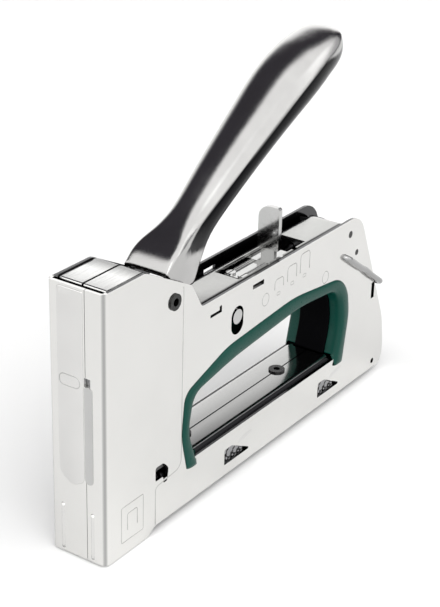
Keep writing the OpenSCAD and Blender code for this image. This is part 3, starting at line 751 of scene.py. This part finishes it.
@dataclass
class Handle:
    """The pressed handle: a hollow shell drawn along u from the pivot.

    Each line holds (u, size) knots: heights of crown, rim and broadest place, half the
    width, squareness of the arch, curl of the rim, and limits of the band of painted
    dark reflection and shade along the rims.
    """

    pivot: tuple[float, float] = (38.9, 87.6)
    tilt: float = 27.0
    sheet: float = 1.4
    arch_points: int = 49
    curl_points: int = 13
    crown: tuple = ((3, 9.3), (9, 11.3), (20, 11.6), (31, 12.6), (51, 15.9), (75, 19),
                    (95, 21.1), (110, 20.3), (121, 18), (128, 15.6), (132, 12.4))
    rim: tuple = ((3, 4.6), (8, -1.2), (13.2, -5.6), (17, -5), (23.3, -2.7), (33.6, 0.6),
                  (58, 3.2), (84, 4.9), (112, 5.2), (123, 5.2), (129, 6.8), (132, 10.2))
    width: tuple = ((3, 9.2), (13, 9.1), (22, 7.7), (30, 7.4), (51, 9), (75, 10.6), (100, 12),
                    (113, 11.8), (122, 10.8), (128, 8.6), (131, 5.6), (132, 2))
    broad: tuple = ((3, 6.6), (15, 4.4), (24, 5), (51, 7.7), (75, 9.7), (102, 11.4),
                    (120, 11.4), (132, 11.6))
    square: tuple = ((3, 9), (11, 8), (22, 4), (34, 2.6), (100, 2.4), (132, 2.2))
    # Limits of the band of painted dark reflection and shade along the rims
    band_rise: tuple = ((3, 3.2), (60, 3.2), (112, 2.6), (122, -1.0), (132, -1.0))
    band_foot: tuple = ((3, 9), (12, 8), (20, 2.2), (28, -2), (132, -3))
    band_edge: float = 0.5
    curl: tuple = ((3, 0), (20, 0.2), (39, 1.8), (58, 3.2), (112, 3.2), (125, 2), (132, 0.6))

    def ring(self, u: np.ndarray, inset: float) -> np.ndarray:
        """Half-rings of the section, rim to rim, for every station at once.

        The arch is a superellipse: across = (w - t) cos(f)^e and up = b + (c - t - b)
        sin(f)^e. Below the broadest height each wall curls in by k on a quarter ellipse.

        Args:
            u: Stations along the handle.
            inset: 0 for the outer face, the sheet thickness for the inner one.

        Returns:
            (stations, points, 2) array of (across, up).
        """
        lines = (self.width, self.broad, self.crown, self.rim, self.curl, self.square)
        w, b, c, r, k, n = (smooth_line(line, u)[:, None] for line in lines)
        t = np.minimum(inset, 0.4 * w)
        e = 2.0 / n
        s = np.linspace(-1, 1, self.arch_points)[None]
        f = np.pi / 2 * (1 - np.abs(s))
        arch = np.stack([np.sign(s) * (w - t) * np.cos(f) ** e,
                         b + np.maximum(c - t - b, 0.1) * np.sin(f) ** e], axis=-1)
        k = np.minimum(k, 0.8 * (w - t))
        q = np.linspace(0, 1, self.curl_points)[None, 1:]
        g = np.pi / 2 * q
        drop = np.where(k > 0.3, np.sin(g), q)
        low = np.stack([w - t - k + k * np.cos(g), b - (b - r) * drop], axis=-1)
        mirrored = low[:, ::-1] * np.array([-1.0, 1.0])
        return np.concatenate([mirrored, arch, low], axis=1)

    def build(self) -> bpy.types.Object:
        """Makes the shell: outer and inner rings joined at the rims and the ends."""
        u = np.r_[np.linspace(3, 110, 90), 110 + 22 * np.sin(np.linspace(0, np.pi / 2, 28))[1:]]
        outer, inner = self.ring(u, 0.0), self.ring(u, self.sheet)
        loop = np.concatenate([outer, inner[:, ::-1]], axis=1)
        rows, columns = loop.shape[:2]
        a = math.radians(self.tilt)
        along = np.repeat(u[:, None], columns, axis=1)
        x = self.pivot[0] + along * math.cos(a) - loop[..., 1] * math.sin(a)
        z = self.pivot[1] + along * math.sin(a) + loop[..., 1] * math.cos(a)
        points = shifted(np.stack([x, loop[..., 0], z], axis=-1).reshape(-1, 3))
        faces = grid_faces(rows, columns, True).tolist()
        half = columns // 2
        j = np.arange(half - 1)
        cap = np.stack([j, j + 1, columns - 2 - j, columns - 1 - j], axis=-1)
        faces += cap.tolist() + (cap[:, ::-1] + (rows - 1) * columns).tolist()
        obj = make_piece("handle_grip", points, faces, HANDLE_METAL, "handle")
        self.mark_painted_dark(obj, u, loop[..., 1])
        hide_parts("handle_shell")
        log.info("handle_grip: %d faces", len(faces))
        return obj

    def mark_painted_dark(self, obj: bpy.types.Object, u: np.ndarray, height: np.ndarray) -> None:
        """Stores on every point how deep it lies in the band of painted dark reflection and
        shade along the rims.

        Args:
            obj: The handle.
            u: Stations along the handle.
            height: (stations, points) array of heights across the handle.
        """
        top = (smooth_line(self.broad, u) + smooth_line(self.band_rise, u))[:, None]
        foot = smooth_line(self.band_foot, u)[:, None]
        band = np.clip((top - height) / self.band_edge, 0, 1) * np.clip(height - foot, 0, 1)
        mark = obj.data.attributes.new(HANDLE_METAL.shadow, "FLOAT", "POINT")
        mark.data.foreach_set("value", band.reshape(-1).astype(np.float32))


@dataclass
class Liner:
    """The moulded liner of the finger opening, with a lip over both plates."""

    outer: tuple = ((47.5, 17.2, 2), (44.2, 31, 22), (45.8, 48.6, 6.5), (72, 57.4, 40),
                    (117, 60.6, 70), (157.5, 55.8, 15), (160.9, 38, 25), (157.6, 17.2, 2.5))
    inner: tuple = ((54.3, 17.2, 2), (47.9, 33, 13), (51.6, 46.8, 7), (80, 50.8, 60),
                    (122, 54.2, 70), (151.5, 51.6, 11), (154.4, 35, 25), (149.6, 17.2, 2))
    lip: float = 0.9
    floor: float = 21.95
    band_depth: float = 1.16
    band: tuple = ((0.0, -7.0), (0.85, -6.8), (1.0, -6.2), (1.0, 6.2), (0.85, 6.8), (0.0, 7.0))

    def arch(self, corners: Sequence, count: int = 150) -> np.ndarray:
        """The outline without its lower side, from the front foot to the rear foot."""
        return resampled(rounded_path(corners, 4.0, closed=False), count)

    def swept(self, start: np.ndarray, end: np.ndarray, section: np.ndarray) -> tuple:
        """A section carried along two outlines, closed at both feet.

        Args:
            start: (n, 2) outline where the section's share is 0.
            end: (n, 2) outline where it is 1.
            section: (m, 2) array of (share, y).

        Returns:
            Points and faces.
        """
        way = start[:, None] + (end - start)[:, None] * section[None, :, :1]
        y = np.broadcast_to(section[None, :, 1:], (*way.shape[:2], 1))
        points = shifted(np.concatenate([way[..., :1], y, way[..., 1:]], -1).reshape(-1, 3))
        return points, capped_grid(*way.shape[:2])

    def build(self) -> None:
        """Makes the liner as a rounded section carried along the arch, and its soft band."""
        outer, inner = self.arch(self.outer), self.arch(self.inner)
        span = HALF_WIDTH + self.lip
        # Half of a tunnel wall with a lip over the plate
        half = np.array([
            (0.0, 0.0), (0.0, 5.0), (0.0, 9.0), (0.02, 10.6), (0.07, 11.7), (0.2, 12.45),
            (0.36, span), (0.62, span), (0.84, 12.45), (0.95, 12.1), (1.0, HALF_WIDTH),
            (0.55, HALF_WIDTH), (0.52, 10.5), (0.52, 0.0)])
        section = np.concatenate([half, half[-1:0:-1] * np.array([1, -1])])
        points, faces = self.swept(inner, outer, section)
        between_plates = np.abs(points[:, 1]) < 11.0
        points[:, 2] = np.where(between_plates & (points[:, 2] < self.floor), self.floor,
                                points[:, 2])
        liner = make_piece("finger_grip_liner", points, faces, GREEN, "casing")
        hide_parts("finger_liner")
        deep = self.arch([tuple(np.array(o) + (np.array(i) - np.array(o)) * self.band_depth)
                          for o, i in zip(self.outer, self.inner)])
        points, faces = self.swept(inner, deep, np.array(self.band))
        points[:, 2] = np.maximum(points[:, 2], self.floor)
        soft = make_piece("liner_soft_band", points, faces, RUBBER, "casing")
        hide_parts("liner_insert")
        log.info("finger_grip_liner: section of %d points", len(section))


@dataclass
class Wirework:
    """Springs, rods and the lock bail: round wire along worked-out paths."""

    slot_pin: tuple[float, float] = (77.9, 67.3)
    bail_pivot: tuple[float, float] = (154.6, 64.6)
    bail_reach: float = 37.3
    bail_radius: float = 1.25
    bail_fall: float = 35.0
    bail_bend: float = 2.6
    bail_corner: float = 3.0
    rod_radius: float = 1.25
    rod_side: float = 4.0
    eye_radius: float = 3.3
    rod_end: float = 147.0
    pivot: tuple[float, float] = (38.9, 87.6)
    torsion_radius: float = 4.8
    torsion_wire: float = 0.7
    pusher_start: tuple[float, float, float] = (17.8, 0, 10)
    pusher_length: float = 163.5
    pusher_radius: float = 2.25
    pusher_wire: float = 0.35

    def helix(self, centre: Sequence[float], axis: int, radius: float, length: float,
              turns: float, end_turns: float = 1.0) -> np.ndarray:
        """Path of a coil: a circle of one radius that advances evenly, with closed ends.

        Args:
            centre: Where the axis of the coil starts.
            axis: 0 for a coil along x, 1 for one along y.
            radius: Radius to the middle of the wire.
            length: Length of the coil.
            turns: Number of turns.
            end_turns: Turns at each end that lie flat.

        Returns:
            (n, 3) array of points.
        """
        t = np.linspace(0, turns, int(turns * 20) + 1)
        rise = np.clip((t - end_turns) / max(turns - 2 * end_turns, 1e-6), 0, 1) * length
        a = FULL_TURN * t
        out = np.zeros((len(t), 3)) + np.array(centre, float)
        others = [k for k in (0, 1, 2) if k != axis]
        out[:, axis] += rise
        out[:, others[0]] += radius * np.cos(a)
        out[:, others[1]] += radius * np.sin(a)
        return out

    def bail(self) -> None:
        """The lock bail: two legs outside the plates, turned in at the pivot, and a bar."""
        y = HALF_WIDTH + self.bail_radius + 0.3
        reach, r, c = self.bail_reach, self.bail_bend, self.bail_corner
        half = np.array([(0, 8.7, 0), (0, y - r, 0)])
        a = np.linspace(0, np.pi / 2, 9)[1:]
        bend = np.stack([r * (1 - np.cos(a)), y - r + r * np.sin(a), 0 * a], axis=-1)
        leg = np.stack([np.linspace(3.2, reach - 3.2, 16), np.full(16, y), np.zeros(16)], -1)
        leg[:, 2] += 0.4 * np.exp(-(((leg[:, 0] - 20.0) / 3.0) ** 2))
        end = np.stack([reach - c + c * np.sin(a), y - c + c * np.cos(a), 0 * a], axis=-1)
        path = np.concatenate([half, bend, leg, end])
        path = np.concatenate([path, path[::-1] * np.array([1, -1, 1])])
        f = math.radians(-self.bail_fall)
        x = self.bail_pivot[0] + path[:, 0] * math.cos(f) - path[:, 2] * math.sin(f)
        z = self.bail_pivot[1] + path[:, 0] * math.sin(f) + path[:, 2] * math.cos(f)
        points, faces = tube(np.stack([x, path[:, 1], z], axis=-1), self.bail_radius, 20)
        obj = make_piece("bail_wire", shifted(points), faces, BAIL_WIRE, "bail")
        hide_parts("lock_bail")

    def rods(self) -> None:
        """The two spring rods: an eye round the slot pin, then a straight run to the rear."""
        x0, z0 = self.slot_pin
        r, count = self.eye_radius, 40
        a = np.linspace(-1.45 * np.pi, np.pi / 2, count)
        parts = []
        for side in (-self.rod_side, self.rod_side):
            y = np.full(count, side)
            eye = np.stack([x0 + r * np.cos(a), y, z0 + r * np.sin(a)], -1)
            run = np.stack([np.linspace(x0 + 2, self.rod_end, count), y,
                            np.full(count, z0 + r)], -1)
            parts.append(tube(np.concatenate([eye, run]), self.rod_radius, 14))
        points, faces = joined(*parts)
        obj = make_piece("spring_rods", shifted(points), faces, SPRING_WIRE, "casing")
        obj.parent = None
        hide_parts("main_spring")
        near, far = shifted(np.array([(80.0, 0.0, z0 + r), (140.0, 0.0, z0 + r)])) * MM
        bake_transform(obj)

    def coils(self) -> None:
        """The handle's torsion spring and the long spring behind the pusher."""
        px, pz = self.pivot
        path = self.helix((px, -4.6, pz), 1, self.torsion_radius, 9.2, 6.5)
        points, faces = tube(path, self.torsion_wire, 10)
        obj = make_piece("handle_torsion_spring", shifted(points), faces, SPRING_WIRE, "handle")
        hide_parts("handle_spring")
        path = self.helix(self.pusher_start, 0, self.pusher_radius, self.pusher_length, 56.0)
        points, faces = tube(path, self.pusher_wire, 8)
        obj = make_piece("pusher_coil_spring", shifted(points), faces, SPRING_WIRE,
                         "magazine_slide")
        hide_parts("pusher_spring")
        rear_end = np.array([self.pusher_start]) + np.array([self.pusher_length, 0, 0])
        anchor = tuple((shifted(rear_end)[0] * MM).tolist())
        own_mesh(obj)

    def build(self) -> None:
        """Makes all the wire pieces."""
        self.bail()
        self.rods()
        self.coils()
        log.info("wirework: bail, rods and coils")


@dataclass
class Pressings:
    """Embossed lines, ribs, marks and scoops on the casing, counted from the nose."""

    pictograms: tuple = ((102.7, 108.8, 68.9, 72.8), (111.5, 117.9, 69.3, 75.2),
                         (120.6, 127.3, 69.6, 77.3))
    marks: tuple = ((105.5, 66.6), (115.1, 67.4), (123.9, 67.6))
    spots: tuple = ((96.6, 67.2), (140.2, 60.9))
    emblem: tuple = (9.2, 21.6, 5.2, 19.6)
    scoops: tuple = (72.0, 139.0)
    panel: tuple = ((-3.2, 103.2, 0.8), (7.8, 103.2, 1.5), (7.8, 33.0, 4.0), (2.5, 28.5, 4.0),
                    (-3.2, 31.5, 3.0))
    panel_rise: float = 0.22
    pill: tuple = (-1.8, 7.0, 67.0, 71.2, 2.0)
    rib_sides: tuple = (6.7, -6.4)
    rib_radius: float = 0.75
    groove_rim: tuple = ((-6.9, 31.5, 1.6), (-3.6, 31.5, 1.6), (-3.6, 68.5, 0.6),
                         (-6.9, 68.5, 0.6))
    groove_middle: tuple = (-5.25, 50.0)
    step: tuple = ((44.0, 91.5, 0), (44.0, 20.0, 3.5), (28.7, 18.6, 2.0), (28.7, 3.0, 0))

    def side_line(self, name: str, path: np.ndarray, bead: float, proud: float,
                  closed: bool = False) -> bpy.types.Object:
        """Makes a bead on both side plates along a path of (x, z) points.

        Args:
            name: Name of the piece.
            path: (n, 2) array of points.
            bead: Radius of the bead.
            proud: How far it stands out of the plate.
            closed: True if the path joins its start.

        Returns:
            The new piece.
        """
        depth = HALF_WIDTH - bead + proud
        parts = []
        for side in (-depth, depth):
            line = np.stack([path[:, 0], np.full(len(path), side), path[:, 1]], axis=-1)
            parts.append(tube(line, bead, 12, closed))
        points, faces = joined(*parts)
        return make_piece(name, shifted(points), faces, EMBOSS, "casing")

    def front_panel(self) -> None:
        """The raised panel of the front face."""
        panel = rounded_path(self.panel, 10.0)
        n, rise = len(panel), self.panel_rise
        middle = panel.mean(axis=0)
        small = middle + (panel - middle) * np.array([0.955, 0.992])
        points = np.concatenate([
            np.c_[np.full(n, 0.05), panel], np.c_[np.full(n, -rise * 0.5), (panel + small) / 2],
            np.c_[np.full(n, -rise), small]])
        make_piece("front_panel", shifted(points), capped_grid(3, n), PRESSED, "casing")

    def foot_ribs(self) -> None:
        """The two upright ribs near the foot of the front face."""
        parts = []
        for y in self.rib_sides:
            line = np.c_[np.full(12, 0.35), np.full(12, y), np.linspace(1.8, 20.0, 12)]
            parts.append(tube(line, self.rib_radius, 14))
        points, faces = joined(*parts)
        make_piece("foot_ribs", shifted(points), faces, PRESSED, "casing")

    def front_mark(self) -> None:
        """The pill-shaped mark on the front panel."""
        pill = box_path(*self.pill, step=15.0)
        line = np.c_[np.full(len(pill), -self.panel_rise + 0.12), pill]
        points, faces = tube(line, 0.22, 10, True)
        make_piece("front_mark", shifted(points), faces, EMBOSS, "casing")

    def groove(self) -> None:
        """A round-ended groove beside the seam: a shallow trough with a raised rim."""
        rim = rounded_path(self.groove_rim, 12.0)
        middle = np.array(self.groove_middle)
        rings = []
        for share, height in ((1.06, 0.08), (1.0, -0.16), (0.86, -0.1), (0.6, 0.0)):
            ring = middle + (rim - middle) * np.array([share, 1 - (1 - share) * 0.09])
            rings.append(np.c_[np.full(len(rim), height), ring])
        points = np.concatenate(rings) - np.array([0.02, 0, 0])
        faces = capped_grid(len(rings), len(rim))
        make_piece("front_groove", shifted(points), faces, SHADED_GROOVE, "casing")

    def side_marks(self) -> None:
        """Staple pictures, the framed emblem, spot marks and the step line on the sides."""
        for i, (box, (x, z)) in enumerate(zip(self.pictograms, self.marks)):
            self.side_line(f"staple_picture_{i}", staple_path(*box, 1.6), 0.26, 0.08)
            mark = box_path(x - 1.1, x + 1.1, z - 0.6, z + 0.6, 0.4, 20.0)
            self.side_line(f"picture_mark_{i}", mark, 0.16, 0.05, closed=True)
        a = np.linspace(0, FULL_TURN, 33)[:-1]
        for i, (x, z) in enumerate(self.spots):
            ring = np.stack([x + 2.3 * np.cos(a), z + 2.5 * np.sin(a)], axis=-1)
            self.side_line(f"spot_mark_{i}", ring, 0.2, 0.07, closed=True)
        x0, x1, z0, z1 = self.emblem
        self.side_line("emblem_frame", box_path(x0, x1, z0, z1, 0.6), 0.26, 0.08, closed=True)
        icon = staple_path(x0 + 3.4, x1 - 3.4, z0 + 4.2, z1 - 3.6, 0.8)
        self.side_line("emblem_staple", icon, 0.24, 0.08)
        step = rounded_path(self.step, 8.0, closed=False)
        self.side_line("casing_step", step, 0.5, 0.05)

    def slab(self, name: str, front: np.ndarray, rear: np.ndarray, skin: np.ndarray,
             rim: np.ndarray, finish: Finish) -> None:
        """Makes a thin piece from two skins joined by a wall round their rim.

        Args:
            name: Name of the piece.
            front: (n, 3) array of the outer points.
            rear: (n, 3) array of the inner points, in the same order.
            skin: Faces of the outer skin.
            rim: Indices of the points round its edge.
            finish: Its finish.
        """
        n = len(front)
        wall = np.stack([rim, np.roll(rim, -1), np.roll(rim, -1) + n, rim + n], -1)
        faces = skin.tolist() + (skin[:, ::-1] + n).tolist() + wall.tolist()
        make_piece(name, shifted(np.concatenate([front, rear])), faces, finish, "casing")

    def scoop_strip(self, name: str, x: float, side: int) -> None:
        """The crumpled dark steel strip behind a lanced window."""
        rows, columns = 60, 26
        u, v = np.meshgrid(np.linspace(0, 1, rows), np.linspace(0, 1, columns), indexing="ij")
        depth = 10.1 + 0.28 * np.sin(31 * u + 5 * v) * np.cos(9 * v + 14 * u * v)
        front = np.stack([x - 0.5 + 19.5 * u, side * depth, 6.2 + 8.2 * v], axis=-1)
        front = front.reshape(-1, 3)
        rear = front - np.array([0, side * 0.4, 0])
        rim = np.concatenate([np.arange(rows) * columns,
                              (rows - 1) * columns + np.arange(1, columns),
                              np.arange(rows - 2, -1, -1) * columns + columns - 1,
                              np.arange(columns - 2, 0, -1)])
        self.slab(name, front, rear, grid_faces(rows, columns, False), rim, SCOOP_STEEL)

    def scoop_ramp(self, name: str, x: float, side: int) -> None:
        """The low swelling that the press leaves in front of a lanced window."""
        rows, columns = 12, 40
        r, f = np.meshgrid(np.linspace(0, 1, rows), np.linspace(0, FULL_TURN, columns + 1)[:-1],
                           indexing="ij")
        across, up = r * np.cos(f), r * np.sin(f)
        rise = 0.34 * (1 - r**2) ** 2 - 0.04
        px = x + 13.6 + 6.0 * across + 0.6 * up
        pz = 13.5 + 1.7 * up + 1.0 * across * 0.6
        dome = np.stack([px, side * (HALF_WIDTH + rise), pz], axis=-1).reshape(-1, 3)
        back = dome.copy()
        back[:, 1] = side * (HALF_WIDTH - 0.3)
        rim = np.arange(columns) + (rows - 1) * columns
        self.slab(name, dome, back, grid_faces(rows, columns, True), rim, PRESSED)

    def scoop(self, x: float) -> None:
        """One lanced scoop on each side: the strip behind it and its ramp."""
        for side, label in ((-1, "near"), (1, "far")):
            self.scoop_strip(f"scoop_strip_{label}_{int(x)}", x, side)
            self.scoop_ramp(f"scoop_ramp_{label}_{int(x)}", x, side)

    def build(self) -> None:
        """Makes every pressed detail."""
        self.front_panel()
        self.foot_ribs()
        self.front_mark()
        self.groove()
        self.side_marks()
        for x in self.scoops:
            self.scoop(x)
        log.info("pressings: panel, groove, marks and scoops")


def main() -> None:
    """Builds the studio and every sub-assembly in order."""
    logging.basicConfig(level=logging.INFO, format="%(name)s: %(message)s")
    Studio().build()
    Metalwork().build()
    Handle().build()
    Liner().build()
    Wirework().build()
    Pressings().build()


if __name__ == "__main__":
    main()
